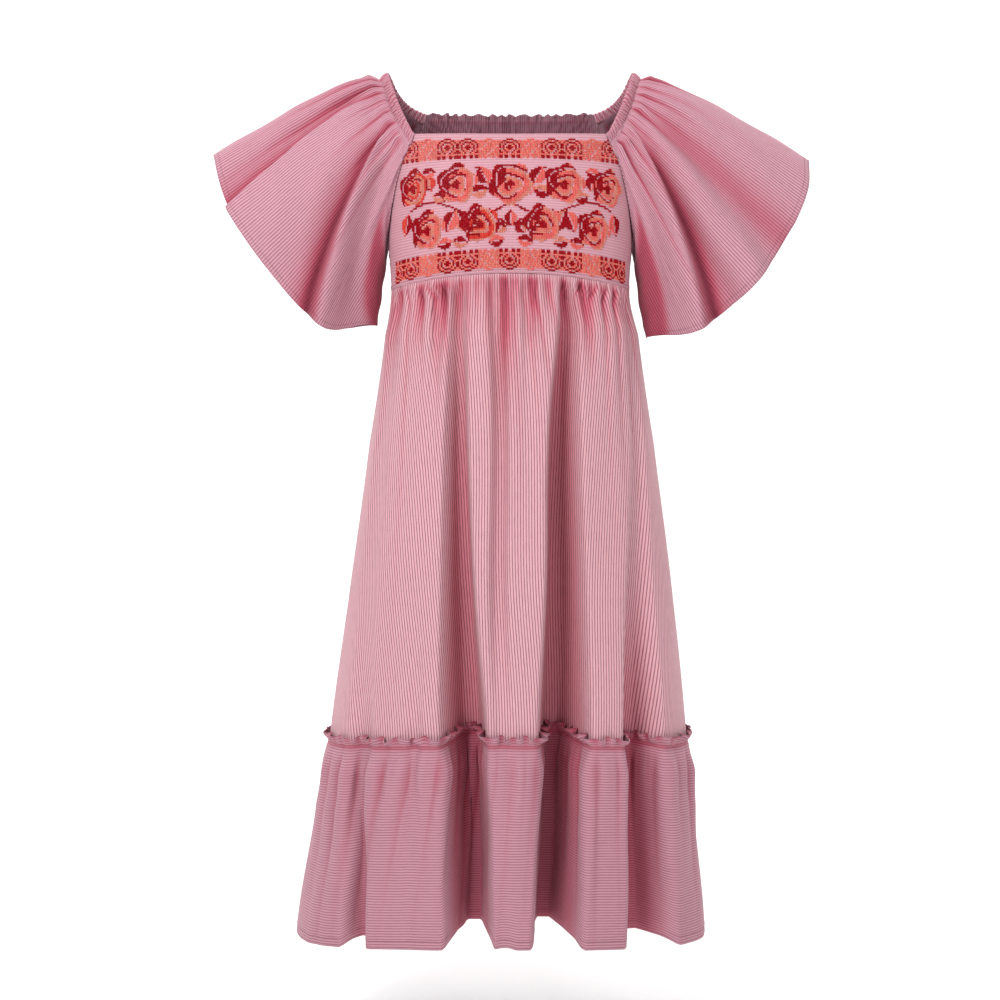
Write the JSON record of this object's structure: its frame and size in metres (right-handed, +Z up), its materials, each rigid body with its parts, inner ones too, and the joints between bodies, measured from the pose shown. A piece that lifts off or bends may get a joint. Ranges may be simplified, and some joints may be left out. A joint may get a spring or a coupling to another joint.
{
  "type": "midi dress",
  "caption": "Hollow worn midi dress with a square embroidered yoke, shirred back, raglan flutter sleeves, gathered empire skirt and a frilled hem ruffle.",
  "frame": {"origin": "midway between the shoulders at the height of the shoulder tops, where the wearer holds the dress up", "axes": "+Z up, the front faces -Y, and +X is on the right of a viewer who faces the front"},
  "size_m": [0.817, 0.3833, 1.1805],
  "materials": {
    "cloth": "matt cotton with fine pink and mauve stripes",
    "yoke": "matt cotton covered with red and coral cross stitch"
  },
  "bodies": {
    "root": {"yoke_front": "yoke", "bodice_back": "cloth", "skirt_front": "cloth", "skirt_back": "cloth", "ruffle_front": "cloth", "ruffle_back": "cloth", "sleeve_left": "cloth", "sleeve_right": "cloth", "neck_casing_left": "cloth", "neck_casing_right": "cloth"}
  },
  "joints": []
}
